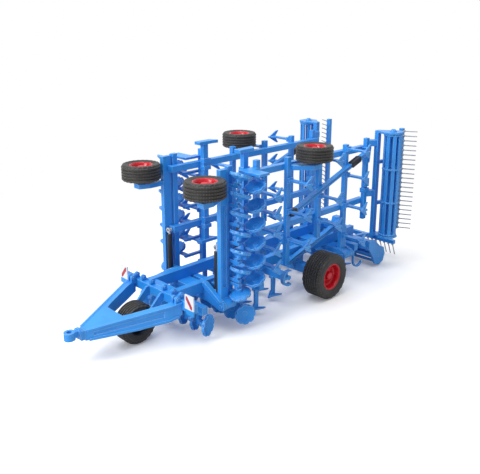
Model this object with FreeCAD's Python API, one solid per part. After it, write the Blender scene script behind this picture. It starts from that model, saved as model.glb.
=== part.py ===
import FreeCAD, Part
import math
import os

# Toy folding field cultivator, about one sixteenth of the real machine, built folded for the road.
# All sizes in millimetres. +X points to the tractor, +Y to the left, +Z up.
# "s" is the distance behind the middle of the hitch eye, so x = hitch_x - s.

# Driving dimensions
eye_r = 6.25                 # hitch eye, outer radius
tail_s = 546.0               # rearmost harrow tips
hitch_x = (tail_s + eye_r) / 2 - eye_r
clear = 0.3                  # running clearance between a pin and what turns on it
hinge_y, hinge_z = 60.0, 37.0    # wing fold axis
post_in, post_out = 48.0, 54.0   # wing posts, inner and outer face (distance from the middle)
post_w = 7.0                 # wing post, width along the machine
lead_in, lead_out, lead_w = 50.0, 56.0, 12.0   # the broad front post, likewise
rail_in = 40.0               # inner face of the wing's long rails
rail_low, rail_high, rail_h = 107.0, 187.0, 8.0   # the two rails, middle heights and depth
beam_in, beam_out = 21.0, 29.0   # main beams
beam_lo, beam_hi = 46.0, 60.0
bar_lo = 36.0                # underside of the cross bars below the main beams
disc_r, disc_t = 13.0, 1.4   # cultivator discs
front_tilt, rear_tilt = 20.0, 26.0   # lean of the two disc rows
gauge_r, gauge_w = 24.5, 21.0    # small support wheels
gf_s, gf_y, gf_z = 144.5, 60.0, 187.0   # folded front support wheel
gr_s, gr_y, gr_z = 325.0, 69.5, 204.0   # folded rear support wheel
road_r, road_w = 31.75, 31.0     # transport wheels
gauge_wall, road_wall = 9.5, 13.25   # tyre walls, rim to tread
road_s, road_y = 345.0, 77.5
roller_s, roller_r = 495.0, 13.5
roller_y, roller_z = 80.0, 17.0  # folded wing roller from the middle; middle roller above the ground
harrow_s = 537.0
harrow_y = 69.0
reach = 42.0                 # from a bar's middle plane out to the share's point

V = FreeCAD.Vector
os.makedirs("parts", exist_ok=True)
parts = {}


def P(s, y, z):
    return V(hitch_x - s, y, z)


def blk(s0, s1, y0, y1, z0, z1):
    return Part.makeBox(s1 - s0, y1 - y0, z1 - z0, V(hitch_x - s1, y0, z0))


def rod(a, b, r):
    p, q = P(*a), P(*b)
    return Part.makeCylinder(r, (q - p).Length, p, q - p)


def tube(a, b, r, bore):
    d = (P(*b) - P(*a)).normalize()
    q, p = P(*b) + d, P(*a) - d
    return rod(a, b, r).cut(Part.makeCylinder(bore, (q - p).Length, p, q - p))


def face(points):
    return Part.Face(Part.makePolygon(points + [points[0]]))


def side_plate(pts, y0, y1):
    return face([P(s, y0, z) for s, z in pts]).extrude(V(0, y1 - y0, 0))


def flat_plate(pts, z0, z1):
    return face([P(s, y, z0) for s, y in pts]).extrude(V(0, 0, z1 - z0))


def end_plate(pts, s0, s1):
    return face([P(s0, y, z) for y, z in pts]).extrude(V(s0 - s1, 0, 0))


def bar(a, b, wide, tall, up=(0, 0, 1)):
    p, q = P(*a), P(*b)
    d = (q - p)
    n = V(*up)
    e = d.cross(n).normalize()
    u = e.cross(d).normalize()
    c = [p + e * (wide / 2 * i) + u * (tall / 2 * j) for i, j in ((-1, -1), (1, -1), (1, 1), (-1, 1))]
    return face(c).extrude(d)


def fuse(shapes):
    out = shapes[0]
    if len(shapes) > 1:
        out = out.multiFuse(shapes[1:])
    return out.removeSplitter()


def group(shapes):
    return Part.makeCompound(shapes)


def mirror(shape):
    return shape.mirror(V(0, 0, 0), V(0, 1, 0))


def both(shape):
    return [shape, mirror(shape)]


def place(shape, at, axis):
    # moves a shape built along +Z at the origin to a point and a direction
    out = shape.copy()
    out.Placement = FreeCAD.Placement(at, FreeCAD.Rotation(V(0, 0, 1), axis))
    return out


# Discs
def make_disc():
    dish = 2.6
    prof = [(0, 0), (5, 0), (disc_r * 0.7, dish * 0.35), (disc_r, dish),
            (disc_r, dish + disc_t), (disc_r * 0.7, dish * 0.35 + disc_t), (5, disc_t), (0, disc_t)]
    f = face([V(r, 0, z) for r, z in prof])
    d = f.revolve(V(0, 0, 0), V(0, 0, 1), 360)
    cuts = []
    for i in range(8):
        a = math.radians(45 * i)
        rr = disc_r + 1.4
        cuts.append(Part.makeCylinder(2.9, 8, V(rr * math.cos(a), rr * math.sin(a), -5)))
    return d.cut(Part.makeCompound(cuts))


disc = make_disc()
hub_drop = 6.0               # how far a disc's arm sits beside its hub


def slab(p, q, u, v, w, t):
    # straight bar from p to q, w wide along u and t thick along v
    c = [p + u * (w / 2 * i) + v * (t / 2 * j) for i, j in ((-1, -1), (1, -1), (1, 1), (-1, 1))]
    return face(c).extrude(q - p)


def disc_unit(s, y, z, n, foot, keep, drop=hub_drop, thick=5.0):
    # one disc on its hub, leg and arm; keep is the box that trims the arm's foot flush
    c = P(s, y, z)
    n = V(*n).normalize()
    back = c - n * 5
    hub = Part.makeCylinder(3.6, 5 + disc_t + 1.0, back, n)
    f = P(*foot)
    d = V(*[round(k) for k in (f - back).normalize()])
    row = V(*[round(k) for k in n])
    q = row.cross(d)
    low = back - row * drop
    end = f - row * ((f - low).dot(row)) - q * ((f - low).dot(q))
    leg = slab(back - row * -1.0 - d * -2.4, low - d * -2.4, d, q, 4.8, 5.0)
    arm = slab(low - d * 2.6 - row * -1.8, end - row * -1.8, row, q, min(3.6, thick), 5.0)
    return fuse([place(disc, c, n), hub, leg, arm.common(keep)])


# Wheels: tyre and rim turned about the wheel's own axis
def make_tyre(r, w, rim_r, ribs):
    h = w / 2
    pts = [(rim_r, -h * 0.86), (rim_r + 1.5, -h * 0.92), (r - 6, -h), (r - 2.4, -h * 0.93)]
    n = ribs
    top = h * 0.8
    step = 2 * top / n
    for i in range(n):
        a = -top + i * step
        pts += [(r - 1.4, a + 0.01), (r, a + step * 0.14), (r, a + step * 0.76), (r - 1.4, a + step * 0.9)]
    pts += [(r - 2.4, h * 0.93), (r - 6, h), (rim_r + 1.5, h * 0.92), (rim_r, h * 0.86)]
    f = face([V(a, 0, b) for a, b in pts])
    return f.revolve(V(0, 0, 0), V(0, 0, 1), 360)


def make_rim(rim_r, w, bore, deep):
    h = w / 2 * 0.86
    pts = [(bore, -h * 0.55), (5.2, -h * 0.55), (5.2, -1.5), (rim_r * 0.72, -1.5), (rim_r - 2.0, -h + 1.2),
           (rim_r - 2.0, -h), (rim_r, -h), (rim_r, h), (rim_r - 2.0, h), (rim_r - 2.0, h - deep * 0.5),
           (rim_r * 0.72, 1.5), (5.2, 1.5), (5.2, h * 0.55), (bore, h * 0.55)]
    f = face([V(a, 0, b) for a, b in pts])
    return f.revolve(V(0, 0, 0), V(0, 0, 1), 360)


pin_r = 2.5
gauge_rim = gauge_r - gauge_wall
road_rim = road_r - road_wall
gauge_tyre = make_tyre(gauge_r, gauge_w, gauge_rim, 5)
gauge_hub = make_rim(gauge_rim, gauge_w, pin_r + clear, 4.0)
road_tyre = make_tyre(road_r, road_w, road_rim, 6)
road_hub = make_rim(road_rim, road_w, pin_r + clear, 8.0)
gauge_half = gauge_w / 2 * 0.86 * 0.55
road_half = road_w / 2 * 0.86 * 0.55


def wheel(name, at, axis, tyre, hub):
    parts[name + "_tyre"] = place(tyre, P(*at), V(*axis))
    parts[name + "_rim"] = place(hub, P(*at), V(*axis))


# Hitch head: upright eye, neck and collar
eye_lo, eye_hi = 34.0, 43.0
eye_bore = 3.2
head = fuse([rod((0, 0, eye_lo), (0, 0, eye_hi), eye_r), blk(4, 11, -3.2, 3.2, 35, 42),
             rod((9, 0, 38), (11.5, 0, 38), 6.5), blk(11, 16, -5.2, 5.2, 30, 41)])
parts["hitch_head"] = head.cut(rod((0, 0, eye_lo - 1), (0, 0, eye_hi + 1), eye_bore))

# Drawbar: a hollow V that opens towards the front wheel
bar_s0, bar_s1 = 16.0, 116.0
slope_top = [(bar_s0, 41.0), (100, 54.0), (bar_s1, 56.0)]
slope_low = [(bar_s1, 41.0), (100, 37.0), (bar_s0, 28.5)]
wedge = side_plate(slope_top + slope_low, -60, 60)
plan = [(bar_s0, -5.5), (100, -45), (bar_s1, -50), (bar_s1, 50), (100, 45), (bar_s0, 5.5)]
vee = flat_plate(plan, 20, 70).common(wedge)
mouth = flat_plate([(58, -15), (64, -19), (100, -36), (bar_s1 + 1, -42), (bar_s1 + 1, 42), (100, 36), (64, 19), (58, 15)],
                   20, 70)
under = flat_plate([(24, -6), (62, -25), (62, 25), (24, 6)], 20, 70).common(
    side_plate([(20, 38.2), (62, 45), (62, 20), (20, 20)], -60, 60))
band = side_plate([(24, 33.5), (96, 42), (96, 48.5), (24, 37.5)], -60, 60)
lip = 1.4
groove = flat_plate([(24, 9.3 - lip), (96, 43.1 - lip), (96, 46), (24, 12)], 20, 70).common(band)
parts["drawbar"] = vee.cut(mouth).cut(under).cut(Part.makeCompound(both(groove)))

# Sign bar across the end of the drawbar
sign_s, sign_bar = 116.0, 8.0
parts["sign_bar"] = fuse([blk(sign_s, sign_s + sign_bar, -68, 68, beam_lo + 1, beam_hi - 2)])
sign_w, sign_h = 15.0, 24.0
sy = 64.0
sign = end_plate([(sy - sign_w / 2, 49), (sy - sign_w / 2 + 4, 45), (sy + sign_w / 2, 45), (sy + sign_w / 2, 45 + sign_h),
                  (sy - sign_w / 2, 45 + sign_h)], sign_s - 1.6, sign_s)
parts["warning_sign_left"], parts["warning_sign_right"] = both(sign)

# Front wheel and the fork it runs in
fw_s, fw_z = 85.0, gauge_r
wheel("front_wheel", (fw_s, 0, fw_z), (0, 1, 0), gauge_tyre, gauge_hub)
leg = side_plate([(fw_s - 5, fw_z - 4), (fw_s + 5, fw_z - 4), (fw_s + 6, fw_z + 4), (sign_s, 47), (sign_s, 57),
                  (sign_s - 4, 57), (fw_s + 2, fw_z + 8), (fw_s - 5, fw_z + 4)], 12.5, 15.0)
parts["front_fork"] = fuse(both(leg) + [rod((fw_s, -15.6, fw_z), (fw_s, 15.6, fw_z), pin_r)])

# Main frame
main_s0, main_s1 = sign_s + sign_bar, 480.0
beams = []
for sgn in (1, -1):
    y0, y1 = sorted((sgn * beam_in, sgn * beam_out))
    beams.append(blk(main_s0, main_s1, y0, y1, beam_lo, beam_hi))
tie_w, tie_in = 10.0, 2.0
ties = [blk(s, s + tie_w, -beam_in, beam_in, beam_lo + tie_in, beam_hi - tie_in)
        for s in (main_s0, 240.0, 360.0, main_s1 - tie_w)]
parts["main_beams"] = fuse(beams + ties)

# Hinge cross beams under the main frame, front and rear, with the fold pins
lug_r = 5.5


def hinge_cross(mid, wide):
    a, b = mid - wide / 2 - 0.5, mid + wide / 2 + 0.5
    prof = [(38, bar_lo), (38, beam_lo), (54, beam_lo), (64, 42), (65.5, 37), (64, 32.5), (58, 31), (50, 33)]
    out = [blk(a - 4, b + 4, -44, 44, bar_lo, beam_lo)]
    for s0, s1 in ((a - 4, a), (b, b + 4)):
        out += both(end_plate(prof, s0, s1))
    out += both(rod((a - 5, hinge_y, hinge_z), (b + 5, hinge_y, hinge_z), 2.2))
    return out


front_hinge, rear_hinge = 177.0, 419.0
cyl_s, cyl_y, cyl_z = 174.4, 45.3, 52.0
cyl_r, cyl_pin = 3.3, 1.6
stand_s = cyl_s + cyl_r + 0.6
stand = fuse([blk(stand_s, stand_s + 5, beam_out, cyl_y + 2.7, beam_lo, cyl_z + 4),
              rod((cyl_s - 3.6, cyl_y, cyl_z), (stand_s + 1, cyl_y, cyl_z), cyl_pin)])
lug_front = front_hinge - lead_w / 2 - 0.5
gusset = end_plate([(beam_out, beam_lo), (beam_out, beam_hi), (beam_out + 5, beam_hi), (62, 43.4), (56, beam_lo - 1)],
                   lug_front - 4, lug_front)
ridge = end_plate([(beam_out, beam_hi - 5), (beam_out, beam_hi), (beam_out + 5, beam_hi), (62, 43.4), (58, 41.5)],
                  lug_front - 6, lug_front - 4)
parts["front_cross"] = fuse(hinge_cross(front_hinge, lead_w) + both(stand) + both(gusset) + both(ridge))
parts["rear_cross"] = fuse(hinge_cross(rear_hinge, lead_w))

# Disc rows and tine bars of the middle section
def lean(angle):
    return math.sin(math.radians(angle)), math.cos(math.radians(angle))


def centre_row(bar_s, disc_s, ys, angle):
    out = [blk(bar_s - 4, bar_s + 4, -62, 62, bar_lo, beam_lo)]
    keep = blk(0, 600, -100, 100, 0, bar_lo + 2)
    for y in ys:
        sgn = 1 if y >= 0 else -1
        sn, cs = lean(angle)
        out.append(disc_unit(disc_s, y, 19.0, (sn, sgn * cs, 0), (bar_s, y, bar_lo + 6), keep))
    return fuse(out)


parts["centre_front_discs"] = centre_row(140, 146, [-54.2, -32.5, -10.8, 10.8, 32.5, 54.2], -front_tilt)
parts["centre_rear_discs"] = centre_row(197, 201, [-65, -43.4, -21.7, 0, 21.7, 43.4, 65], rear_tilt)

bar_rows = [(238, 1), (284, 0), (388, 1), (444, 0)]
parts["centre_tine_bars"] = group([blk(s - 4, s + 4, -60, 60, bar_lo, beam_lo) for s, k in bar_rows])

def make_tine():
    # built with the bar along Z, pointing along Y, rear along X: clamp, straight leg, point and winged share
    leg = face([V(-3.6, 4, -1.4), V(3.6, 4, -1.4), V(2.8, reach - 2, -1.4), V(-2.8, reach - 2, -1.4)]).extrude(V(0, 0, 2.8))
    nose = face([V(-2.6, reach - 13, -1.4), V(-9.5, reach - 1, -1.4), V(2.6, reach - 1, -1.4), V(2.6, reach - 13, -1.4)])
    wing_pts = ((-10.5, 0), (5, 9.5), (8.5, 9.5), (3, 1.6), (3, -1.6), (8.5, -9.5), (5, -9.5))
    duck = face([V(a, reach - 4, b) for a, b in wing_pts]).extrude(V(0, 1.8, 0))
    duck.rotate(V(-10.5, reach - 3, 0), V(0, 0, 1), -8)
    clamp = Part.makeBox(9, 3.6, 7.0, V(-4.5, 4, -3.5))
    return fuse([leg, nose.extrude(V(0, 0, 2.8)), duck, clamp])


tine = make_tine()
tine_tip = tine.BoundBox.YMax


def tine_at(s, y, z, out, along, k=1.0):
    # out: direction the tine points; along: direction of the bar; k shortens the tine
    o, a = V(*out), V(*along)
    c = o * (4 * (1 - k))
    m = FreeCAD.Matrix(-1, k * o.x, a.x, hitch_x - s + c.x, 0, k * o.y, a.y, y + c.y,
                       0, k * o.z, a.z, z + c.z, 0, 0, 0, 1)
    return tine.transformGeometry(m)


spots = {1: (-50, -25, 0, 25, 50), 0: (-37.5, -12.5, 12.5, 37.5)}
drop = bar_lo + 4.0
short = (bar_lo - 5.0) / (reach - 4.0)
tines = []
for s, k in bar_rows:
    for y in spots[k]:
        tines.append(tine_at(s, y, drop, (0, 0, -1), (0, 1, 0), short))
def ring_piece(s, y0, y1, z, outer, inner, keep_s, keep_z):
    # part of a flat ring standing along the machine
    ring = rod((s, y0, z), (s, y1, z), outer).cut(rod((s, y0 - 1, z), (s, y1 + 1, z), inner))
    return ring.common(blk(keep_s[0], keep_s[1], y0 - 1, y1 + 1, keep_z[0], keep_z[1]))


def hook(s, y):
    # curved levelling tine under the last bar
    low = 20.0
    leg = blk(s, s + 2.6, y - 1.5, y + 1.5, low - 0.5, bar_lo)
    return fuse([leg, ring_piece(s + 13, y - 1.5, y + 1.5, low, 13, 10.4, (s, s + 26), (0, low)).cut(
        blk(s + 22, s + 27, y - 2, y + 2, low - 8, low + 1))])


def leaf_springs(s, y):
    # three curved leaves on a boss at the end of a bar
    z = (bar_lo + beam_lo) / 2
    bits = [rod((s, y, z), (s, y + 6.4, z), 3.2)]
    for k in range(3):
        y0 = y + 0.6 + 2.2 * k
        bits.append(ring_piece(s, y0, y0 + 1.4, z, 11.5, 9, (s - 12, s + 4), (z - 12, z + 10)))
        bits.append(blk(s - 10, s, y0, y0 + 1.4, z - 1.6, z + 1.6))
    return fuse(bits)


hooks = [hook(440, y) for y in (-57, -25, 0, 25, 57)]
springs = both(leaf_springs(284, 60))
parts["centre_tines"] = group(tines + hooks + springs)

# Transport axle
ax_z = road_r
stub = rod((road_s, -road_y - road_half - 1.8, ax_z), (road_s, road_y + road_half + 1.8, ax_z), pin_r)
inner = road_y - road_w / 2
axle = [blk(road_s - 6, road_s + 6, -inner + 3, inner - 3, ax_z - 6, ax_z + 6),
        rod((road_s, inner - 4, ax_z), (road_s, road_y - road_half - 0.4, ax_z), 4.5),
        rod((road_s, -inner + 4, ax_z), (road_s, -road_y + road_half + 0.4, ax_z), 4.5), stub]
axle += both(side_plate([(road_s - 14, beam_lo), (road_s + 14, beam_lo), (road_s + 7, ax_z - 5), (road_s - 7, ax_z - 5)],
                        beam_in, beam_out))
axle += both(rod((road_s, road_y + road_half + 0.4, ax_z), (road_s, road_y + road_half + 2.0, ax_z), 4.0))
parts["axle_beam"] = fuse(axle)
wheel("road_left", (road_s, road_y, ax_z), (0, 1, 0), road_tyre, road_hub)
wheel("road_right", (road_s, -road_y, ax_z), (0, -1, 0), road_tyre, road_hub)

# Rear struts on the main beams
prop_y = beam_out + 6
prop = bar((316, prop_y, 44.5), (440, prop_y, 79.5), 6, 7)
prop = prop.cut(bar((304, prop_y + 3, 41.1), (452, prop_y + 3, 82.9), 2.4, 2.4))
post = side_plate([(426, beam_hi), (446, beam_hi), (444, 84), (434, 84)], beam_in, beam_out)
pads = [blk(322, 332, beam_out, prop_y - 2, beam_lo + 0.5, 51), blk(434, 444, beam_out - 2, prop_y - 2, 76, 84)]
parts["rear_struts"] = group(both(fuse([post, prop] + pads)))

# Middle roller with its beam and end plates
plate_y0, plate_y1 = 66.0, 69.0
prof = [(466, beam_lo), (466, 34), (479, 17), (484, 5.6), (495, 1.5), (506, 5.6), (510.5, 17), (506, 28.4), (495, 33),
        (480, beam_lo)]
rb = [blk(468, 476, -plate_y1, plate_y1, bar_lo, beam_lo)]
hole = rod((roller_s, -80, roller_z), (roller_s, 80, roller_z), pin_r + clear)
rb += both(side_plate(prof, plate_y0, plate_y1))
parts["roller_beam"] = fuse(rb).cut(hole)


def make_roller(length):
    # along +Z from the origin: core, rings and slats, with a stub pin at each end
    bits = [Part.makeCylinder(4.0, length)]
    for k in range(4):
        bits.append(Part.makeCylinder(roller_r, 2.0, V(0, 0, (length - 2.0) * k / 3)))
    for i in range(8):
        b = Part.makeBox(2.4, 5.0, length, V(roller_r - 3.2, -2.5, 0))
        b.rotate(V(0, 0, 0), V(0, 0, 1), 45 * i)
        bits.append(b)
    bits.append(Part.makeCylinder(pin_r, length + 7.2, V(0, 0, -3.6)))
    lim = Part.makeCylinder(roller_r, length + 20, V(0, 0, -10))
    return fuse(bits).common(lim)


gap = 0.8
parts["roller_centre"] = place(make_roller(2 * plate_y0 - 2 * gap), P(roller_s, -plate_y0 + gap, roller_z), V(0, 1, 0))

# Middle harrow behind the roller
hb_lo, hb_hi = 25.0, 31.0
arm_up = [side_plate([(476, 36), (476, 45), (500, 43), (540, 35), (540, hb_hi), (534, hb_hi), (505, 36)], 30, 35)]
parts["centre_harrow_bar"] = fuse([blk(harrow_s - 3, harrow_s + 3, -plate_y1, plate_y1, hb_lo, hb_hi)] + both(arm_up[0]))


def harrow_tine(at, out, tip):
    a = P(*at)
    o = V(*out)
    boss = Part.makeCylinder(1.7, 2.4, a, o)
    b = a + o * 1.2
    t = P(*tip)
    return fuse([boss, Part.makeCylinder(0.8, (t - b).Length, b, t - b), Part.makeSphere(0.8, t)])


n_mid = 18
pitch = 2 * (plate_y1 - 3) / (n_mid - 1)
parts["centre_harrow_tines"] = group([harrow_tine((harrow_s, -plate_y1 + 3 + pitch * i, hb_lo), (0, 0, -1),
                                                  (tail_s - 0.8, -plate_y1 + 3 + pitch * i, 5.0)) for i in range(n_mid)])

# Wing, built for the left side and mirrored for the right
wing = {}
# s of the post's middle, bottom, top
post_rows = [(189, 50, 205), (236, 47.5, 205), (294, 52, 200), (359, 76, 200), (rear_hinge, 40, 200), (470, 79, 203)]


def hinge_post(mid, wide, y0, y1, top):
    b = blk(mid - wide / 2, mid + wide / 2, y0, y1, 40, top)
    lug = end_plate([(y0, 44), (y0, 40), (56, 33), (64, 40.5), (y1, 44)], mid - wide / 2, mid + wide / 2)
    eye = rod((mid - wide / 2, hinge_y, hinge_z), (mid + wide / 2, hinge_y, hinge_z), lug_r)
    return fuse([b, lug, eye]).cut(rod((mid - 20, hinge_y, hinge_z), (mid + 20, hinge_y, hinge_z), 2.2 + clear))


lead = hinge_post(front_hinge, lead_w, lead_in, lead_out, 203)
lead = lead.cut(blk(front_hinge - 3, front_hinge + 3, lead_out - 2, lead_out + 1, 58, 160))
posts = [lead]
for s, z0, z1 in post_rows:
    if s == rear_hinge:
        posts.append(fuse([hinge_post(s, lead_w, post_in, post_out, 78),
                           blk(s - post_w / 2, s + post_w / 2, post_in, post_out, 77, z1)]))
    else:
        posts.append(blk(s - post_w / 2, s + post_w / 2, post_in, post_out, z0, z1))
posts.append(blk(465, 475, post_out, post_out + 2, 130, 142))
posts[-2:] = [fuse(posts[-2:])]
ram_y, ram_z = cyl_y, rail_low
wing["posts"] = group(posts)

rails = []
rail_s0 = cyl_s + cyl_r + 0.5
for z in (rail_low, rail_high):
    z0, z1 = z - rail_h / 2, z + rail_h / 2
    rails += [blk(rail_s0, 470 + post_w / 2, rail_in, post_in, z0, z1),
              blk(rail_s0, front_hinge + lead_w / 2, post_in - 1, lead_in, z0, z1)]


def wheel_arm(plan, s, y, z, thick):
    # flat arm below a support wheel, with the spindle that it turns on and the cap above
    foot, top = z - gauge_half - 0.4, z + gauge_half + 0.4
    deck = z - gauge_w / 2 - 4.5
    arm = flat_plate(plan, deck - thick, deck)
    return fuse([arm, rod((s, y, deck - 1), (s, y, top + 1.4), pin_r), rod((s, y, top), (s, y, top + 1.4), 4.0),
                 rod((s, y, deck - 1), (s, y, foot), 4.5)])


lead_front = front_hinge - lead_w / 2
arm1 = wheel_arm([(lead_front, lead_in), (lead_front, lead_out), (gf_s + 7.5, gf_y + 6), (gf_s - 7.5, gf_y + 6),
                  (gf_s - 7.5, gf_y - 5), (gf_s + 5.5, lead_in)], gf_s, gf_y, gf_z, 6.0)
back = 294 + post_w / 2
arm2 = wheel_arm([(back, post_in), (back, post_out + 4), (gr_s - 8, gr_y + 6.5), (gr_s + 7, gr_y + 6.5),
                  (gr_s + 7, gr_y - 7.5), (gr_s - 13, post_in)], gr_s, gr_y, gr_z, 6.0)
bar_s0, bar_s1, bar_y = 225.0, 233.0, rail_in - 6
cross = [blk(bar_s0, bar_s1, bar_y, rail_in, 84, 214)]
for z in (80, 214):
    cross.append(flat_plate([(bar_s0 - 8, bar_y - 2), (bar_s0 - 8, rail_in + 2), (bar_s1 + 8, rail_in + 2),
                             (bar_s1 + 15, bar_y - 3), (bar_s1 + 6, bar_y - 2)], z, z + 4))
for z in (rail_low, rail_high):
    cross.append(blk(bar_s0 - 0.8, bar_s1 + 3, bar_y - 2, rail_in, z - rail_h / 2 - 3, z - rail_h / 2 + 2))
    cross.append(blk(bar_s0 - 0.8, bar_s1 + 3, bar_y - 2, rail_in, z + rail_h / 2 - 1, z + rail_h / 2 + 4))
wing["rails"] = fuse(rails + cross)
wing["wheel_arms"] = group([arm1, arm2])

keep = blk(0, 600, post_out, 120, 0, 260)
row1_s, row1_y, row1_z, row1_step = 190.5, 68.0, 52.0, 23.3
row2_s, row2_y, row2_z, row2_step = 211.0, 75.5, 61.0, 23.2
sn, cs = lean(-front_tilt)
row1 = []
for k in range(7):
    z = row1_z + row1_step * k
    row1.append(disc_unit(row1_s, row1_y, z, (sn, 0, -cs if k == 0 else cs), (row1_s, 50, z), keep))
sn, cs = lean(rear_tilt)
row2 = []
for k in range(6):
    z = row2_z + row2_step * k
    arm = blk(row2_s - 3, 236 + post_w / 2, post_out, post_out + 4.5, z - 4.6, z - 1.4)
    row2.append(fuse([disc_unit(row2_s, row2_y, z, (sn, 0, cs), (row2_s, 50, z), keep, 0.3, 3.2), arm]))
guard = fuse([blk(207, 224, 58, 84, 193.5, 196.5), blk(207, 236 - post_w / 2, post_in + 1, 58, 193.5, 196.5)])
wing["front_discs"] = group(row1)
wing["rear_discs"] = group(row2 + [guard])

rows = {236: (74, 97, 120, 143, 166), 294: (88, 128, 170), 359: (101, 137, 190), rear_hinge: (64, 111, 156, 194)}
wing["tines"] = group([tine_at(s, 50, z, (0, 1, 0), (0, 0, 1)) for s in rows for z in rows[s]])

def ribbed(a, b):
    # square bar on the posts' outer faces, with a groove along it
    y = post_out + 3
    whole = bar((a[0], y, a[1]), (b[0], y, b[1]), 6, 6, (0, 1, 0))
    return whole.cut(bar((a[0] - 6, y + 3, a[1] - 6 * (b[1] - a[1]) / (b[0] - a[0])),
                         (b[0] + 6, y + 3, b[1] + 6 * (b[1] - a[1]) / (b[0] - a[0])), 2.2, 2.8, (0, 1, 0)))


wing["strut"] = ribbed((300, 127), (468, 185))

rf = [blk(485, 493, 55, 61, 51, 213)]
tip = [(485, 55), (485, 62), (480, 74), (481, 86), (488, 93), (502, 93), (509, 86), (509, 74), (500, 66), (493, 55)]
for z0, z1 in ((51, 54), (210, 213)):
    rf.append(flat_plate(tip, z0, z1))
for z0 in (113, 190):
    rf.append(flat_plate([(470 + post_w / 2, post_in), (470 + post_w / 2, post_out), (485, 60), (492, 60), (492, 56),
                          (485, post_in)], z0, z0 + 9))
wing["roller_frame"] = fuse(rf).cut(rod((roller_s, roller_y, 40), (roller_s, roller_y, 230), pin_r + clear))
wing["roller"] = place(make_roller(210 - 54 - 2 * gap), P(roller_s, roller_y, 54 + gap), V(0, 0, 1))

hb = [blk(harrow_s - 3, harrow_s + 3, harrow_y - 3, harrow_y + 3, 52, 212)]
for z0 in (98, 162):
    hb.append(flat_plate([(493, 55.5), (493, 60.5), (534, 70), (537, 66), (534, 65)], z0, z0 + 5))
wing["harrow_bar"] = fuse(hb)
n_wing = 22
wing["harrow_tines"] = group([harrow_tine((harrow_s, harrow_y + 3, 54.5 + 7.3 * i), (0, 1, 0),
                                          (tail_s - 0.8, 90.0, 54.5 + 7.3 * i)) for i in range(n_wing)])

for k in wing:
    parts["wing_left_" + k] = wing[k]
    parts["wing_right_" + k] = mirror(wing[k])

for sgn, side in ((1, "left"), (-1, "right")):
    wheel("gauge_front_" + side, (gf_s, sgn * gf_y, gf_z), (0, 0, 1), gauge_tyre, gauge_hub)
    wheel("gauge_rear_" + side, (gr_s, sgn * gr_y, gr_z), (0, 0, 1), gauge_tyre, gauge_hub)

# Fold cylinders
base, eye = (cyl_s, cyl_y, cyl_z), (cyl_s, ram_y, ram_z)
ln = math.hypot(ram_y - cyl_y, ram_z - cyl_z)
dy, dz = (ram_y - cyl_y) / ln, (ram_z - cyl_z) / ln


def along(t):
    return (cyl_s, cyl_y + dy * t, cyl_z + dz * t)


ram_r = 1.7
barrel = fuse([rod(along(3), along(ln - 5.4), cyl_r), rod((cyl_s - 3, cyl_y, cyl_z), (cyl_s + 3, cyl_y, cyl_z), cyl_r + 0.5)])
barrel = barrel.cut(rod(along(6.5), along(ln), ram_r + clear)).cut(
    rod((cyl_s - 9, cyl_y, cyl_z), (cyl_s + 9, cyl_y, cyl_z), cyl_pin + clear))
ram = fuse([rod(along(8.4), along(ln - 2), ram_r), rod((cyl_s - 2.5, ram_y, ram_z), (cyl_s + 2.5, ram_y, ram_z), 3.4)])
ram = ram.cut(rod((cyl_s - 9, ram_y, ram_z), (cyl_s + 9, ram_y, ram_z), cyl_pin))
for side, f in (("left", lambda q: q), ("right", mirror)):
    parts["cylinder_" + side + "_barrel"] = f(barrel)
    parts["cylinder_" + side + "_rod"] = f(ram)

total = 0
for name in sorted(parts):
    sh = parts[name]
    sh.exportStep("parts/" + name + ".step")
    bb = sh.BoundBox
    total += sum(q.Volume for q in sh.Solids)
    print(name, len(sh.Solids), "x", round(bb.XMin, 1), round(bb.XMax, 1), "y", round(bb.YMin, 1), round(bb.YMax, 1),
          "z", round(bb.ZMin, 1), round(bb.ZMax, 1), "ok" if sh.isValid() else "INVALID")
print("volume", round(total), "nodes", len(parts))
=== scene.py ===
# %% [markdown]
# # A toy field cultivator, folded for the road
#
# The real object is a moulded plastic toy, a bit over half a metre long. Nearly all
# of it is one glossy blue plastic, with soft black tyres on deep red rims, a few
# black and silver pieces, and two small striped signs. The hard construction comes
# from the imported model. Here it gets its finishes, its wheels get their tread and
# their dished rims, and a plain studio is put round it.

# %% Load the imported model
import math

import bpy
from mathutils import Matrix, Vector


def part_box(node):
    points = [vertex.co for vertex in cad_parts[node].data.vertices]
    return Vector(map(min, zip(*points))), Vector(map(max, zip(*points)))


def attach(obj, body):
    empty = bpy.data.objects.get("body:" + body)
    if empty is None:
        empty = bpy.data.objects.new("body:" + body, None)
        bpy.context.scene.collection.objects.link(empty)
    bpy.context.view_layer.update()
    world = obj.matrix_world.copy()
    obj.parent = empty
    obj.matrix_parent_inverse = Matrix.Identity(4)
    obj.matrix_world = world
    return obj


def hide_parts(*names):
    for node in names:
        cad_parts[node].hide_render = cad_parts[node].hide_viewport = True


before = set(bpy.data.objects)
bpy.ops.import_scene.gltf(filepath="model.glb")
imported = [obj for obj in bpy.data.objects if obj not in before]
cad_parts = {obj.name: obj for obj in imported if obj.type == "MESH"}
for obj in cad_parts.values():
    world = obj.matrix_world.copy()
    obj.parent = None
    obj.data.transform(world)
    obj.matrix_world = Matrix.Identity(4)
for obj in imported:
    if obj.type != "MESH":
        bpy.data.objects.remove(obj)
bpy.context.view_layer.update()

MM = 0.001
SIDES = (("left", 1), ("right", -1))

# %% [markdown]
# The model puts its X axis towards the tractor, with its origin under the middle of
# the whole length. It is easier to think in distances behind the hitch eye, so one
# small function turns "so far behind the eye, so far left, so high" into a place.

# %% Where things are
EYE_X = 269.875 * MM


def at(behind, left, high):
    return Vector((EYE_X - behind * MM, left * MM, high * MM))


print("hitch eye at", [round(v, 4) for v in at(0, 0, 38)])

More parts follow.
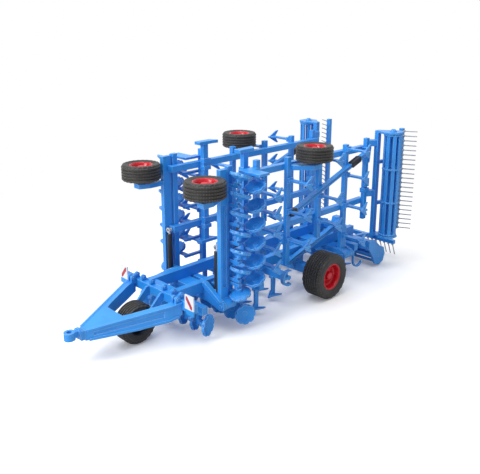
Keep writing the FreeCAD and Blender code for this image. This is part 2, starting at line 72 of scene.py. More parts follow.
# %% [markdown]
# ## Finishes
#
# A moulded plastic is never one flat colour. The blue toy is painted a little lighter
# along its edges, a painted highlight where they catch the light; its sheen wanders a
# little where the mould was polished, and very fine grain breaks up the reflections.
# These small functions each add one such thing to a material: a node, a noise, a ramp
# of two colours, a change of range, a blend of two colours, and the grain.

# %% Node helpers
COLOUR_A, COLOUR_B, COLOUR_OUT = 6, 7, 2      # a Mix node's sockets for colours
GRAIN_DEPTH = 0.1 * MM


def add(tree, kind, **values):
    """Adds a node, and sets each value on it or on its input of that name."""
    node = tree.nodes.new(kind)
    for name, value in values.items():
        if hasattr(node, name):
            setattr(node, name, value)
        else:
            node.inputs[name].default_value = value
    return node


def new_finish(name):
    mat = bpy.data.materials.new(name)
    mat.use_nodes = True
    tree = mat.node_tree
    return mat, tree, tree.nodes["Principled BSDF"]


def noise(tree, scale, detail=2.0):
    where = add(tree, "ShaderNodeTexCoord")
    spots = add(tree, "ShaderNodeTexNoise", Scale=scale, Detail=detail)
    tree.links.new(where.outputs["Object"], spots.inputs["Vector"])
    return spots.outputs["Fac"]


def ramp(tree, source, low, high, dark, light):
    node = add(tree, "ShaderNodeValToRGB")
    for stop, place, colour in zip(node.color_ramp.elements, (low, high), (dark, light)):
        stop.position = place
        stop.color = (*colour, 1)
    tree.links.new(source, node.inputs["Fac"])
    return node.outputs["Color"]


def spread(tree, source, low, high, start=0.3, stop=0.7, **settings):
    """Maps the source's span from start to stop, a noise's own by default, to low..high."""
    span = {"From Min": start, "From Max": stop, "To Min": low, "To Max": high}
    node = add(tree, "ShaderNodeMapRange", **span, **settings)
    tree.links.new(source, node.inputs["Value"])
    return node.outputs["Result"]


def blend(tree, factor, one, two):
    """Mixes two colours, each given as numbers or as another node's output."""
    node = add(tree, "ShaderNodeMix", data_type="RGBA")
    tree.links.new(factor, node.inputs["Factor"])
    for socket, colour in ((COLOUR_A, one), (COLOUR_B, two)):
        if isinstance(colour, tuple):
            node.inputs[socket].default_value = (*colour, 1)
        else:
            tree.links.new(colour, node.inputs[socket])
    return node.outputs[COLOUR_OUT]


def grained(tree, shader, scale, strength, under=None):
    """Gives a shader a fine grain, on top of another normal if there is one."""
    bump = add(tree, "ShaderNodeBump", Strength=strength, Distance=GRAIN_DEPTH)
    tree.links.new(noise(tree, scale), bump.inputs["Height"])
    if under is not None:
        tree.links.new(under, bump.inputs["Normal"])
    tree.links.new(bump.outputs["Normal"], shader.inputs["Normal"])


print("node helpers ready")

# %% [markdown]
# The Bevel node rounds every edge for the shader alone, which is why a moulded edge
# shows a soft line of light. Where that rounded direction leaves the face's own, an
# edge is near, so the same node also paints the edges a touch paler: a painted
# highlight along every edge.

# %% The moulded plastics
EDGE_FROM, EDGE_FULL = 0.99, 0.80      # how far the two directions still agree


def moulded(name, dark, light, edge, rough, grain=900.0, round_mm=0.5, metal=0.0):
    mat, tree, shader = new_finish(name)
    soft = add(tree, "ShaderNodeBevel", samples=6, Radius=round_mm * MM)
    grained(tree, shader, grain, 0.06, soft.outputs["Normal"])
    flat = add(tree, "ShaderNodeNewGeometry")
    turn = add(tree, "ShaderNodeVectorMath", operation="DOT_PRODUCT")
    tree.links.new(soft.outputs["Normal"], turn.inputs[0])
    tree.links.new(flat.outputs["Normal"], turn.inputs[1])
    # painted highlight: where an edge is near, the paler edge colour is blended over the body
    edge_highlight_mask = spread(tree, turn.outputs["Value"], 0.0, 1.0, EDGE_FROM, EDGE_FULL)
    body = ramp(tree, noise(tree, 35.0, 3.0), 0.35, 0.65, dark, light)
    tree.links.new(blend(tree, edge_highlight_mask, body, edge), shader.inputs["Base Color"])
    tree.links.new(spread(tree, noise(tree, 120.0), *rough), shader.inputs["Roughness"])
    shader.inputs["Metallic"].default_value = metal
    return mat


# In each finish below, the third colour is a painted highlight along the edges.
blue = moulded("blue_plastic", (0.022, 0.255, 0.720), (0.030, 0.295, 0.790),
               (0.330, 0.600, 0.920), (0.30, 0.40), round_mm=0.9)
black = moulded("black_plastic", (0.010, 0.011, 0.014), (0.020, 0.021, 0.025),
                (0.045, 0.046, 0.05), (0.32, 0.45))
grey = moulded("tine_grey", (0.300, 0.330, 0.380), (0.380, 0.410, 0.460),
               (0.5, 0.53, 0.57), (0.3, 0.4), round_mm=0.3)
silver = moulded("rod_silver", (0.55, 0.56, 0.58), (0.66, 0.67, 0.69),
                 (0.8, 0.8, 0.8), (0.22, 0.32), round_mm=0.2, metal=0.9)
red = moulded("rim_red", (0.480, 0.004, 0.014), (0.600, 0.008, 0.022),
              (0.7, 0.05, 0.07), (0.2, 0.3))
print("plastics:", blue.name, black.name, grey.name, silver.name, red.name)

# %% [markdown]
# The tyres are a softer, matt black plastic. Its colour is nearly even, but every
# edge of the tread gets a painted highlight, a little paler, which is what makes the
# small blocks show at all, and a coarse grain keeps the rest from shining.

# %% The tyres' soft plastic
# The third colour is the painted highlight on the tread's edges.
rubber = moulded("tyre_rubber", (0.016, 0.016, 0.016), (0.028, 0.027, 0.026),
                 (0.200, 0.190, 0.180), (0.42, 0.56), grain=1400.0, round_mm=0.45)
print("tyre finish:", rubber.name)

# %% [markdown]
# The two signs are small white plates with one slanting red band, which leans
# outwards and down on both sides and stops short of the plate's edge. Below them
# the same plate is blue, where it is clipped to its bar. All of it follows the
# sign's own place in the model: how far out of its middle and how far up a point is.

# %% The striped signs
SIGN_HALF_W, SIGN_HALF_H = 5.4, 7.2      # the part that the band may cross, in mm
SIGN_MARGIN, FOOT_GAP = 1.6, 1.2         # plain white above it, and below it
BAND_HALF, BAND_SLOPE = 3.4, 1.25
low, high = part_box("warning_sign_left")
SIGN_MID_Y = (low[1] + high[1]) / 2 / MM
SIGN_MID_Z = high[2] / MM - SIGN_HALF_H - SIGN_MARGIN


def sums(tree, kind, one, two=None):
    """Adds a Math node; each value is a number or another node's output."""
    node = add(tree, "ShaderNodeMath", operation=kind)
    for socket, value in zip(node.inputs, (one, two)):
        if value is None:
            continue
        if isinstance(value, (int, float)):
            socket.default_value = value
        else:
            tree.links.new(value, socket)
    return node.outputs[0]


def within(tree, value, limit):
    return sums(tree, "LESS_THAN", sums(tree, "ABSOLUTE", value), limit)


def striped(name):
    mat, tree, shader = new_finish(name)
    where = add(tree, "ShaderNodeTexCoord")
    axes = add(tree, "ShaderNodeSeparateXYZ")
    tree.links.new(where.outputs["Object"], axes.inputs[0])
    out = sums(tree, "SUBTRACT", sums(tree, "ABSOLUTE", axes.outputs["Y"]), SIGN_MID_Y * MM)
    up = sums(tree, "SUBTRACT", axes.outputs["Z"], SIGN_MID_Z * MM)
    slant = sums(tree, "ADD", sums(tree, "MULTIPLY", out, BAND_SLOPE), up)
    inside = sums(tree, "MULTIPLY", within(tree, out, SIGN_HALF_W * MM),
                  within(tree, up, SIGN_HALF_H * MM))
    red_here = sums(tree, "MULTIPLY", within(tree, slant, BAND_HALF * MM), inside)
    plate = blend(tree, red_here, (0.70, 0.73, 0.80), (0.42, 0.03, 0.03))
    foot = sums(tree, "LESS_THAN", up, -(SIGN_HALF_H + FOOT_GAP) * MM)
    tree.links.new(blend(tree, foot, plate, (0.022, 0.270, 0.690)), shader.inputs["Base Color"])
    grained(tree, shader, 700.0, 0.05)
    tree.links.new(spread(tree, noise(tree, 150.0), 0.3, 0.42), shader.inputs["Roughness"])
    return mat


signs = striped("sign_white")
print("sign finish:", signs.name, "middle at", round(SIGN_MID_Y, 1), round(SIGN_MID_Z, 1))

# %% [markdown]
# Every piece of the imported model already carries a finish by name. Each one is
# swapped for the worked-up finish of the same name, so the construction itself is
# not touched.

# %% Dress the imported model
FINISH = {"blue_plastic": blue, "black_plastic": black, "tine_grey": grey, "rod_silver": silver,
          "rim_red": red, "tyre_rubber": rubber, "sign_white": signs}
slot_of = {}
for name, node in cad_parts.items():
    for place in node.material_slots:
        key = next((k for k in FINISH if place.material and k in place.material.name), "blue_plastic")
        place.material = FINISH[key]
        slot_of[name] = key
print({k: list(slot_of.values()).count(k) for k in FINISH})

# %% [markdown]
# ## Wheels
#
# The toy's tyres are wide and low. The two transport tyres have leaning rows of
# small blocks, and the support tyres have round ribs with fine cuts across. First
# come the tools that every form below is made with: picking faces, edges or points
# by where they are, and settling a finished piece on the body that carries it.

# %% Picking, naming, settling and copying


def only(piece):
    """Leaves edit mode and makes this the one selected piece."""
    if bpy.context.object and bpy.context.object.mode != "OBJECT":
        bpy.ops.object.mode_set(mode="OBJECT")
    bpy.ops.object.select_all(action="DESELECT")
    piece.select_set(True)
    bpy.context.view_layer.objects.active = piece


def named(name):
    """Names the piece that was just added, and its mesh."""
    piece = bpy.context.object
    piece.name = name
    piece.data.name = name
    return piece


def pick(piece, test, what="FACE"):
    """In edit mode, selects the faces, edges or vertices that pass the test."""
    bpy.ops.object.mode_set(mode="EDIT")
    bpy.ops.mesh.select_mode(type=what)
    bpy.ops.mesh.select_all(action="DESELECT")
    bpy.ops.object.mode_set(mode="OBJECT")
    mesh = piece.data
    rows = {"FACE": mesh.polygons, "EDGE": mesh.edges, "VERT": mesh.vertices}[what]
    for row in rows:
        row.select = bool(test(row))
    bpy.ops.object.mode_set(mode="EDIT")


def smooth(piece, degrees=35):
    only(piece)
    bpy.ops.object.shade_smooth_by_angle(angle=math.radians(degrees))


def settle(piece, slot, body, nodes=()):
    """Applies its place, dresses it, and rides it on its body, perhaps for a model's node."""
    only(piece)
    bpy.ops.object.transform_apply(location=True, rotation=True, scale=True)
    piece.data.materials.clear()
    piece.data.materials.append(FINISH[slot])
    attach(piece, body)
    if nodes:
        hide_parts(*nodes)


def copy_of(piece, name, matrix):
    """A copy with its own mesh, which the matrix turns and moves to its place."""
    twin = piece.copy()
    twin.data = piece.data.copy()
    twin.name = name
    twin.data.name = name
    bpy.context.collection.objects.link(twin)
    twin.data.transform(matrix)
    return twin


print("helpers ready")

# %% [markdown]
# A wheel is a turned form, so it starts as one ring of points. The ring is extruded
# and scaled again and again along the wheel's outline, as it would be by hand. At
# the end the last ring is bridged to the first, as for a tyre, or both are tiny and
# are filled, so that the form is closed either way.

# %% Turn a form from one ring


def turned(name, outline, around, filled=False):
    """Turns an outline of (radius, height) points, in mm, round the Z axis."""
    bpy.ops.object.select_all(action="DESELECT")
    r, z = outline[0]
    bpy.ops.mesh.primitive_circle_add(vertices=around, radius=r * MM, location=(0, 0, z * MM))
    piece = named(name)
    bpy.ops.object.transform_apply(location=True)
    bpy.ops.object.mode_set(mode="EDIT")
    bpy.ops.mesh.select_mode(type="EDGE")
    bpy.ops.mesh.select_all(action="SELECT")
    for (r0, z0), (r1, z1) in zip(outline, outline[1:]):
        bpy.ops.mesh.extrude_edges_move(TRANSFORM_OT_translate={"value": (0, 0, (z1 - z0) * MM)})
        bpy.ops.transform.resize(value=(r1 / r0, r1 / r0, 1), center_override=(0, 0, 0))
    bpy.ops.mesh.select_all(action="DESELECT")
    bpy.ops.mesh.select_non_manifold()
    if filled:
        bpy.ops.mesh.edge_face_add()
    else:
        bpy.ops.mesh.bridge_edge_loops()
    bpy.ops.mesh.select_all(action="SELECT")
    bpy.ops.mesh.normals_make_consistent(inside=False)
    bpy.ops.object.mode_set(mode="OBJECT")
    return piece


def radius_of(point):
    return math.hypot(point.x, point.y) / MM


def angle_of(point):
    return math.atan2(point.y, point.x)


print("the lathe is ready")

# %% [markdown]
# A tyre's outline has one step for each rib, with a plain groove between two ribs.
# The transport tyre has seven ribs, and the rings of every other rib are turned by
# half a block, so that its blocks lie like bricks. Then the top of each rib is cut
# across: every face up there is inset by itself and lifted, and what stays low
# between two of them is the fine cut. The shoulders get lugs in the same way.

# %% Tyres
ROAD_R, ROAD_W, ROAD_RIM = 31.75, 31.0, 18.5
GAUGE_R, GAUGE_W, GAUGE_RIM = 24.5, 21.0, 15.0
TREAD = 0.86                   # the share of its width that a tyre's tread takes
LUG_EDGE, LUG_LIFT = 0.3, 0.6


def tyre(name, r, w, rim, around, ribs, deep, lift, cut, gap, lean):
    """Grooves are so deep and have a gap so wide, blocks are lifted and have a cut
    round them, and every other rib is turned by so many blocks, its lean."""
    h = w / 2
    top, low = r - lift, r - lift - deep
    wall = [(rim, TREAD), (rim + 1.5, 0.925), (rim + 2.6, 0.94), ((rim + r) / 2, 0.985),
            (r - 4.8, 1.0), (r - 2.4, 0.955)]
    edge = [(a, -b * h) for a, b in wall]
    pitch = 2 * TREAD * h / ribs
    drum = []
    for k in range(ribs):
        z = -TREAD * h + pitch * k
        drum += [(low, z + 0.01), (top, z + gap * 0.4), (top, z + pitch - gap),
                 (low, z + pitch - gap * 0.6)]
    piece = turned(name, edge + drum + [(a, -b) for a, b in reversed(edge)], around)
    step = math.tau / around
    for k in range(1, ribs, 2):
        z = (-TREAD * h + pitch * k) * MM
        pick(piece, lambda v: z - 0.1 * MM < v.co.z < z + (pitch - gap / 2) * MM
             and radius_of(v.co) > low - 0.1, "VERT")
        bpy.ops.transform.rotate(value=step * lean, orient_axis="Z", center_override=(0, 0, 0))
    pick(piece, lambda f: radius_of(f.center) > top - 0.15 and abs(f.center.z) < TREAD * h * MM)
    bpy.ops.mesh.inset(thickness=cut * MM, depth=lift * MM, use_individual=True)
    pick(piece, lambda f: low - 2.0 < radius_of(f.center) < low
         and 0.84 * h < abs(f.center.z) / MM < 0.96 * h
         and round(angle_of(f.center) / step - 0.5) % 2 == 0)
    bpy.ops.mesh.inset(thickness=LUG_EDGE * MM, depth=LUG_LIFT * MM, use_individual=True)
    bpy.ops.object.mode_set(mode="OBJECT")
    smooth(piece, 28)
    print(name, len(piece.data.polygons), "faces")
    return piece


road_tyre = tyre("road_tyre_model", ROAD_R, ROAD_W, ROAD_RIM, around=44, ribs=7,
                 deep=0.7, lift=0.9, cut=0.5, gap=1.0, lean=0.5)
gauge_tyre = tyre("gauge_tyre_model", GAUGE_R, GAUGE_W, GAUGE_RIM, around=48, ribs=5,
                  deep=1.0, lift=0.4, cut=0.25, gap=1.3, lean=0.0)

# %% [markdown]
# The rim is a deep dish. Its outline starts in the middle of the hub cap, runs down
# to a flat web, up the dish to a rounded lip, over the bead and back to the middle
# behind. The cap is tall enough to cover the end of the axle. Six shallow windows
# are pressed into the web.

# %% Rims
RIM_HALF = 0.43                # half a rim's width, as a share of its tyre's width
RIM_AROUND = 48
WINDOWS, WINDOW_FACES = 6, 5
WEB_THICK = 2.4


def rim(name, r, half, web, hub, cap):
    """web and cap are the heights of the flat web and of the hub cap's top."""
    top = [(0.8, cap), (hub * 0.6, cap - 0.15), (hub - 0.5, cap - 0.5), (hub, cap - 1.2),
           (hub + 0.3, web + 0.8)]
    dish = [(hub + 1.2, web), (r - 4.8, web), (r - 3.6, web + 1.2), (r - 3.0, half - 2.2)]
    bead = [(r - 2.1, half - 0.7), (r - 1.5, half), (r - 0.5, half), (r, half - 0.5),
            (r, -half), (r - 2.0, -half)]
    rear = [(r - 3.0, -half * 0.6), (r - 4.4, web - WEB_THICK), (hub + 1.0, web - WEB_THICK),
            (hub + 0.6, -half * 0.55), (0.8, -half * 0.55)]
    piece = turned(name, top + dish + bead + rear, RIM_AROUND, filled=True)
    face = 360 / RIM_AROUND
    pick(piece, lambda f: abs(f.center.z - web * MM) < 0.05 * MM
         and hub + 1 < radius_of(f.center) < r - 4
         and int(math.degrees(angle_of(f.center)) % 360 / face) % (RIM_AROUND // WINDOWS) < WINDOW_FACES)
    bpy.ops.mesh.inset(thickness=0.7 * MM, depth=0)
    bpy.ops.mesh.inset(thickness=0.3 * MM, depth=-0.9 * MM)
    bpy.ops.object.mode_set(mode="OBJECT")
    smooth(piece, 30)
    print(name, len(piece.data.polygons), "faces")
    return piece


road_rim = rim("road_rim_model", ROAD_RIM, ROAD_W * RIM_HALF, web=4.0, hub=5.0, cap=10.0)
gauge_rim = rim("gauge_rim_model", GAUGE_RIM, GAUGE_W * RIM_HALF, web=2.2, hub=4.7, cap=7.4)

# %% [markdown]
# Seven wheels are placed from these four forms. A form is turned so that its dish
# faces outwards, and moved to the middle of the model's own wheel, whose plain tyre
# and rim it stands for. The front wheel's rim alone gets the black finish instead of
# the red one.

# %% Place the wheels


def wheel(body, node, tyre_form, rim_form, turn, rim_slot="rim_red"):
    low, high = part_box(node + "_tyre")
    centre = (Vector(low) + Vector(high)) / 2
    place = Matrix.Translation(centre) @ Matrix.Rotation(math.radians(turn), 4, "X")
    for form, kind, slot in ((tyre_form, "tyre", "tyre_rubber"), (rim_form, "rim", rim_slot)):
        piece = copy_of(form, f"{node}_{kind}_made", place)
        settle(piece, slot, body, [f"{node}_{kind}"])


for side, sign in SIDES:
    wheel(f"road_wheel_{side}", f"road_{side}", road_tyre, road_rim, -90 * sign)
    for end in ("front", "rear"):
        wheel(f"gauge_{end}_{side}", f"gauge_{end}_{side}", gauge_tyre, gauge_rim, 0)
wheel("front_wheel", "front_wheel", gauge_tyre, gauge_rim, -90, "black_plastic")
for form in (road_tyre, gauge_tyre, road_rim, gauge_rim):
    bpy.data.objects.remove(form)

# %% [markdown]
# ## Discs
#
# Each disc of the real toy is a deep, scalloped saucer, and light gathers in its
# lower half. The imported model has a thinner, flatter disc there, so a saucer is
# turned round the same axis and laid over it: hollow in front, bulging behind, with
# a thick rim. The points of the rim that lie in the eight scallops are drawn in.

# %% One saucer
SCALLOPS, SCALLOP_IN = 8, 0.875
SAUCER = [(0.8, 1.9), (5.2, 1.9), (9.2, 3.3), (12.3, 6.0), (13.2, 5.9), (13.4, 3.6),
          (9.4, 0.5), (5.2, -0.25), (0.8, -0.25)]
saucer = turned("saucer_model", SAUCER, 32, filled=True)
pick(saucer, lambda v: radius_of(v.co) > 12
     and (math.degrees(angle_of(v.co)) / (360 / SCALLOPS) + 0.05) % 1 < 0.1, "VERT")
bpy.ops.transform.resize(value=(SCALLOP_IN, SCALLOP_IN, 1), center_override=(0, 0, 0))
bpy.ops.object.mode_set(mode="OBJECT")
smooth(saucer, 30)
print("saucer:", len(saucer.data.polygons), "faces")

# %% [markdown]
# The discs stand in four rows: two across the middle section, and two on each wing,
# which hang upright while the wings are folded. Each row leans its own way. A disc
# is given by its middle and by the direction that its hollow side looks in.

# %% Lay a saucer over each disc
FRONT_LEAN, REAR_LEAN = math.radians(20), math.radians(26)
CENTRE_FRONT_Y = (-54.2, -32.5, -10.8, 10.8, 32.5, 54.2)
CENTRE_REAR_Y = (-65, -43.4, -21.7, 0, 21.7, 43.4, 65)


def lay_saucers(name, body, places):
    for k, (place, facing) in enumerate(places):
        turn = Vector((0, 0, 1)).rotation_difference(Vector(facing)).to_matrix().to_4x4()
        piece = copy_of(saucer, f"{name}_{k + 1}", Matrix.Translation(place) @ turn)
        settle(piece, "blue_plastic", body)


def leaning(lean, side=0.0, up=0.0):
    return (math.sin(lean), side * math.cos(lean), up * math.cos(lean))


rows = [(at(146, y, 19), leaning(-FRONT_LEAN, 1 if y > 0 else -1)) for y in CENTRE_FRONT_Y]
rows += [(at(201, y, 19), leaning(REAR_LEAN, 1 if y >= 0 else -1)) for y in CENTRE_REAR_Y]
lay_saucers("centre_saucer", "chassis", rows)
for side, sign in SIDES:
    rows = [(at(190.5, 68 * sign, 52 + 23.3 * k), leaning(-FRONT_LEAN, up=-1 if k == 0 else 1))
            for k in range(7)]
    rows += [(at(211, 75.5 * sign, 61 + 23.2 * k), leaning(REAR_LEAN, up=1)) for k in range(6)]
    lay_saucers(f"{side}_saucer", f"wing_{side}", rows)
bpy.data.objects.remove(saucer)

# %% [markdown]
# ## Small fittings
#
# The long slanting strut of each wing ends in soft black sleeves. A sleeve starts as
# a long block. Its two ends are inset and pulled out into short collars, all edges
# are bevelled, and it is turned to the strut's own slope.

# %% Sleeves on the struts
STRUT_FOOT, STRUT_TOP, STRUT_Y = (300.0, 127.0), (468.0, 185.0), 57


def sleeve(name, body, start, end, thick):
    run = end - start
    bpy.ops.object.select_all(action="DESELECT")
    bpy.ops.mesh.primitive_cube_add(size=1, location=(0, 0, 0),
                                    scale=(run.length, thick * MM, thick * MM))
    piece = named(name)
    bpy.ops.object.transform_apply(scale=True)
    pick(piece, lambda f: abs(f.normal.x) > 0.9)
    bpy.ops.mesh.inset(thickness=0.9 * MM, depth=0, use_individual=True)
    bpy.ops.mesh.inset(thickness=0.01 * MM, depth=1.6 * MM, use_individual=True)
    bpy.ops.mesh.select_all(action="SELECT")
    bpy.ops.mesh.bevel(offset=0.5 * MM, segments=2, affect="EDGES")
    bpy.ops.object.mode_set(mode="OBJECT")
    turn = Vector((1, 0, 0)).rotation_difference(run).to_matrix().to_4x4()
    piece.data.transform(Matrix.Translation((start + end) / 2) @ turn)
    smooth(piece, 40)
    settle(piece, "black_plastic", body)


def on_strut(part, sign):
    """The place on the strut's middle line that is so far up from its foot."""
    s = STRUT_FOOT[0] + (STRUT_TOP[0] - STRUT_FOOT[0]) * part
    z = STRUT_FOOT[1] + (STRUT_TOP[1] - STRUT_FOOT[1]) * part
    return at(s, STRUT_Y * sign, z)


for side, sign in SIDES:
    for end, first, last, thick in (("foot", -0.035, 0.025, 7.6), ("top", 0.74, 0.86, 8.0)):
        sleeve(f"strut_{end}_sleeve_{side}", f"wing_{side}",
               on_strut(first, sign), on_strut(last, sign), thick)

# %% [markdown]
# Where the drawbar meets the bar with the signs, and on the hinge beams, the toy has
# small round ears with a pin through them. An ear is a short cylinder lying on its
# side. The faces that look down are extruded to a foot, and the ends are inset and
# pulled out into the pin's head.

# %% Pin ears
EARS = [(112, 40.5, 60.0), (112, 46.5, 60.0), (120, 43.5, 62.0), (120, 30, 62.0), (120, 12, 62.0)]


def ear_form(name, r, wide, foot):
    bpy.ops.object.select_all(action="DESELECT")
    bpy.ops.mesh.primitive_cylinder_add(vertices=24, radius=r * MM, depth=wide * MM,
                                        rotation=(math.pi / 2, 0, 0))
    piece = named(name)
    bpy.ops.object.transform_apply(rotation=True)
    pick(piece, lambda f: f.normal.z < -0.3)
    bpy.ops.mesh.extrude_region_move(TRANSFORM_OT_translate={"value": (0, 0, -foot * MM)})
    bpy.ops.transform.resize(value=(1.15, 1, 0.0), center_override=(0, 0, -(r + foot) * MM))
    pick(piece, lambda f: abs(f.normal.y) > 0.9 and abs(f.center.z) < 0.2 * r * MM)
    bpy.ops.mesh.inset(thickness=(r * 0.45) * MM, depth=0, use_individual=True)
    bpy.ops.mesh.inset(thickness=0.05 * MM, depth=0.9 * MM, use_individual=True)
    bpy.ops.mesh.select_all(action="SELECT")
    bpy.ops.mesh.normals_make_consistent(inside=False)
    bpy.ops.object.mode_set(mode="OBJECT")
    smooth(piece, 30)
    return piece


ear = ear_form("ear_model", r=3.4, wide=3.0, foot=3.2)
for k, (s, y, z) in enumerate(EARS):
    for side, sign in SIDES:
        piece = copy_of(ear, f"pin_ear_{side}_{k + 1}", Matrix.Translation(at(s, y * sign, z)))
        settle(piece, "blue_plastic", "chassis")
bpy.data.objects.remove(ear)

# %% [markdown]
# The drawbar's sides are rolled into lips above and below, which catch the light as
# two thin lines. A lip starts as a small cube at the narrow end, and its end face is
# selected and extruded from one bend of the drawbar to the next.

# %% Lips along the drawbar
TOP_LIP = [(18, 6.6, 41.0), (100, 45.2, 53.6), (115, 49.8, 55.4)]
LOW_LIP = [(20, 7.0, 29.6), (66, 28.6, 32.6), (100, 44.4, 36.6), (112, 48.2, 39.6)]


def lip(name, bends, sign, wide, tall):
    points = [at(s, y * sign, z) for s, y, z in bends]
    bpy.ops.object.select_all(action="DESELECT")
    bpy.ops.mesh.primitive_cube_add(size=1, location=points[0],
                                    scale=(1.0 * MM, wide * MM, tall * MM))
    piece = named(name)
    bpy.ops.object.transform_apply(location=True, scale=True)
    pick(piece, lambda f: f.normal.x < -0.9)
    for p, q in zip(points, points[1:]):
        bpy.ops.mesh.extrude_region_move(TRANSFORM_OT_translate={"value": tuple(q - p)})
    bpy.ops.mesh.select_all(action="SELECT")
    bpy.ops.mesh.normals_make_consistent(inside=False)
    bpy.ops.mesh.bevel(offset=0.35 * MM, segments=2, affect="EDGES")
    bpy.ops.object.mode_set(mode="OBJECT")
    smooth(piece, 40)
    settle(piece, "blue_plastic", "chassis")


for side, sign in SIDES:
    lip(f"drawbar_top_lip_{side}", TOP_LIP, sign, wide=3.4, tall=2.0)
    lip(f"drawbar_low_lip_{side}", LOW_LIP, sign, wide=3.4, tall=3.4)

# %% [markdown]
# The last upright of each wing carries a tapered collar where the strut comes in,
# and a clamp with two bolts lower down. Both start as a cube: the collar's lower
# face is drawn in, and the clamp's bolts are pulled out of its outer face after it
# is divided in nine.

# %% Collars and clamps on the last uprights
POST_S = 470.0
COLLAR_Z, CLAMP_Z = (166, 190), (120.5, 127.5)
BOLT_OUT = 4.0                 # from the clamp's middle to each bolt


def block(name, low, high):
    middle, size = (low + high) / 2, high - low
    bpy.ops.object.select_all(action="DESELECT")
    bpy.ops.mesh.primitive_cube_add(size=1, location=middle, scale=[abs(v) for v in size])
    piece = named(name)
    bpy.ops.object.transform_apply(location=True, scale=True)
    return piece, middle


for side, sign in SIDES:
    collar, middle = block(f"post_collar_{side}", at(POST_S + 6.5, 47.4 * sign, COLLAR_Z[0]),
                           at(POST_S - 6.5, 56.2 * sign, COLLAR_Z[1]))
    pick(collar, lambda f: f.normal.z < -0.9)
    bpy.ops.transform.resize(value=(0.66, 0.86, 1),
                             center_override=(middle.x, middle.y, COLLAR_Z[0] * MM))
    pick(collar, lambda f: abs(f.normal.x) > 0.8)
    bpy.ops.mesh.inset(thickness=1.4 * MM, depth=0, use_individual=True)
    bpy.ops.mesh.inset(thickness=0.2 * MM, depth=-0.8 * MM, use_individual=True)
    bpy.ops.object.mode_set(mode="OBJECT")
    clamp, middle = block(f"post_clamp_{side}", at(POST_S + 6, 47.2 * sign, CLAMP_Z[0]),
                          at(POST_S - 6, 56.0 * sign, CLAMP_Z[1]))
    pick(clamp, lambda f: f.normal.y * sign > 0.9)
    bpy.ops.mesh.subdivide(number_cuts=2)
    pick(clamp, lambda f: f.normal.y * sign > 0.9
         and abs(abs(f.center.x - middle.x) - BOLT_OUT * MM) < 0.5 * MM
         and abs(f.center.z - middle.z) < 0.5 * MM)
    bpy.ops.mesh.inset(thickness=0.3 * MM, depth=1.1 * MM, use_individual=True)
    for piece in (collar, clamp):
        only(piece)
        edge = piece.modifiers.new("edges", "BEVEL")
        edge.width = 0.4 * MM
        edge.segments = 2
        edge.limit_method = "ANGLE"
        bpy.ops.object.modifier_apply(modifier=edge.name)
        smooth(piece, 40)
        settle(piece, "blue_plastic", f"wing_{side}")

# %% [markdown]
# Each wing roller turns on a stub that ends in a small domed cap on the frame's end
# plate. The cap is turned from one ring, like the rims.

# %% Roller caps
CAP = [(0.7, 3.6), (2.6, 3.3), (3.6, 2.4), (3.8, 1.2), (5.0, 1.1), (5.2, -0.6), (0.7, -0.6)]
ROLLER_S, ROLLER_Y = 495, 80
cap = turned("cap_model", CAP, 28, filled=True)
smooth(cap, 30)
for side, sign in SIDES:
    for end, z, turn in (("top", 213, 0), ("low", 51, 180)):
        place = Matrix.Translation(at(ROLLER_S, ROLLER_Y * sign, z))
        place = place @ Matrix.Rotation(math.radians(turn), 4, "X")
        piece = copy_of(cap, f"roller_cap_{end}_{side}", place)
        settle(piece, "blue_plastic", f"wing_{side}")
bpy.data.objects.remove(cap)

# %% [markdown]
# ## Studio
#
# The photograph was taken on a white table against white, with one broad soft lamp
# above. A pale floor alone turns grey further away, and then its far edge shows as
# a horizon. So where the camera looks at it, the floor is white paper with a little
# white of its own, and it fades to full white away from the machine, while the
# shadow stays on the part that is near. To every other ray it is a light grey, so
# that it throws less light back up at the undersides.

# %% Floor
FLOOR_LIFT = 0.10
FADE_FROM, FADE_TO = 0.30, 0.75      # metres from the middle of the machine


def mixed(tree, factor, one, two):
    """Mixes two shaders."""
    node = add(tree, "ShaderNodeMixShader")
    for source, socket in zip((factor, one, two), node.inputs):
        tree.links.new(source, socket)
    return node.outputs[0]


def looked_at(tree):
    """1 for a ray from the camera, straight or through something clear, else 0."""
    rays = add(tree, "ShaderNodeLightPath")
    return sums(tree, "MAXIMUM", rays.outputs["Is Camera Ray"], rays.outputs["Is Transmission Ray"])


bpy.ops.object.select_all(action="DESELECT")
bpy.ops.mesh.primitive_plane_add(size=8.0, location=(0, 0, -0.0002))
floor = bpy.context.object
floor.name = "studio_floor"
mat, tree, shader = new_finish("floor_white")
tone = ramp(tree, noise(tree, 3.0), 0.3, 0.7, (0.70, 0.695, 0.69), (0.72, 0.715, 0.71))
tree.links.new(tone, shader.inputs["Base Color"])
shader.inputs["Roughness"].default_value = 0.9
shader.inputs["Specular IOR Level"].default_value = 0.0
paper = add(tree, "ShaderNodeBsdfDiffuse", Color=(0.98, 0.975, 0.97, 1))
glow = add(tree, "ShaderNodeEmission", Strength=FLOOR_LIFT)
lifted = add(tree, "ShaderNodeAddShader")
tree.links.new(paper.outputs[0], lifted.inputs[0])
tree.links.new(glow.outputs[0], lifted.inputs[1])
white = add(tree, "ShaderNodeEmission", Strength=1.0)
where = add(tree, "ShaderNodeTexCoord")
span = add(tree, "ShaderNodeVectorMath", operation="LENGTH")
tree.links.new(where.outputs["Object"], span.inputs[0])
far = spread(tree, span.outputs["Value"], 0.0, 1.0, FADE_FROM, FADE_TO,
             interpolation_type="SMOOTHSTEP")
table = mixed(tree, far, lifted.outputs[0], white.outputs[0])
tree.links.new(mixed(tree, looked_at(tree), shader.outputs[0], table),
               tree.nodes["Material Output"].inputs["Surface"])
floor.data.materials.append(mat)
print("floor made:", floor.name)

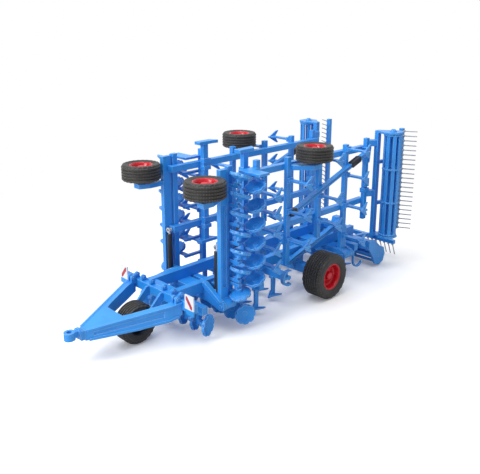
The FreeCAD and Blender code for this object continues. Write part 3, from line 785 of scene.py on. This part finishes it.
# %% [markdown]
# The world is plain white where the camera sees it. As a light it is dim near the
# horizon and brighter overhead, so that the sides of the bars stay deeper than
# their tops. Glossy plastic also mirrors a white backdrop that stands behind the
# machine, seen from the camera.

# %% World
SKY_LOW, SKY_HIGH, SKY_TOP = 0.40, 0.85, 0.9
BACKDROP_WAY, BACKDROP_FULL = (-0.707, -0.707, 0.0), 0.5

world = bpy.data.worlds.new("studio")
bpy.context.scene.world = world
world.use_nodes = True
sky = world.node_tree
lit = sky.nodes["Background"]
lit.inputs["Color"].default_value = (0.98, 0.99, 1.0, 1)
where = add(sky, "ShaderNodeTexCoord")
axes = add(sky, "ShaderNodeSeparateXYZ")
sky.links.new(where.outputs["Generated"], axes.inputs[0])
height = spread(sky, axes.outputs["Z"], SKY_LOW, SKY_HIGH, 0.0, SKY_TOP)
sky.links.new(height, lit.inputs["Strength"])
seen = add(sky, "ShaderNodeBackground", Color=(1, 1, 1, 1), Strength=1.0)
behind = add(sky, "ShaderNodeVectorMath", operation="DOT_PRODUCT")
behind.inputs[1].default_value = BACKDROP_WAY
sky.links.new(where.outputs["Generated"], behind.inputs[0])
backdrop = spread(sky, behind.outputs["Value"], 0.0, 1.0, 0.0, BACKDROP_FULL)
rays = add(sky, "ShaderNodeLightPath")
mirrored = sums(sky, "MULTIPLY", rays.outputs["Is Glossy Ray"], backdrop)
either = sums(sky, "MAXIMUM", looked_at(sky), mirrored)
sky.links.new(mixed(sky, either, lit.outputs[0], seen.outputs[0]),
              sky.nodes["World Output"].inputs["Surface"])
print("world made:", world.name)

# %% [markdown]
# Two area lamps: a broad one above, which makes the tops of the bars paler than
# their sides, and a smaller one in front. It lights the front of each post and
# leaves its outer side darker, as the photograph shows.

# %% Lamps


def lamp(name, place, power, size, aim=(0, 0, 0.1)):
    bpy.ops.object.light_add(type="AREA", location=place)
    made = bpy.context.object
    made.name = name
    made.data.energy = power
    made.data.size = size
    made.rotation_euler = (Vector(aim) - Vector(place)).to_track_quat("-Z", "Y").to_euler()


lamp("lamp_above", (0.35, -0.05, 1.6), 12.0, 1.0)
lamp("lamp_front", (1.5, -0.15, 0.8), 15.0, 0.7)

# %% [markdown]
# ## Camera
#
# The photograph looks back from the front left, at about 135 degrees round the
# machine and from a little above. The focal length and the place below come from
# fitting the picture's corners of the machine: the eye, the wheels, the disc at the
# front hinge and the ends of the roller.

# %% Camera at the photograph's angle
CAM_YAW, CAM_PITCH = math.radians(135.45), math.radians(14.77)

cam_data = bpy.data.cameras.new("camera")
cam = bpy.data.objects.new("camera", cam_data)
bpy.context.collection.objects.link(cam)
cam.location = (0.5569, 0.5537, 0.3595)
back = Vector((math.sin(CAM_YAW) * math.cos(CAM_PITCH), -math.cos(CAM_YAW) * math.cos(CAM_PITCH),
               math.sin(CAM_PITCH)))
cam.rotation_euler = (-back).to_track_quat("-Z", "Y").to_euler()
cam_data.sensor_width = 36.0
cam_data.lens = 45.76
cam_data.shift_y = -0.1
cam_data.clip_start = 0.01
cam_data.clip_end = 20.0
bpy.context.scene.camera = cam
bpy.context.scene.view_settings.view_transform = "Standard"
print("camera at", [round(v, 3) for v in cam.location])
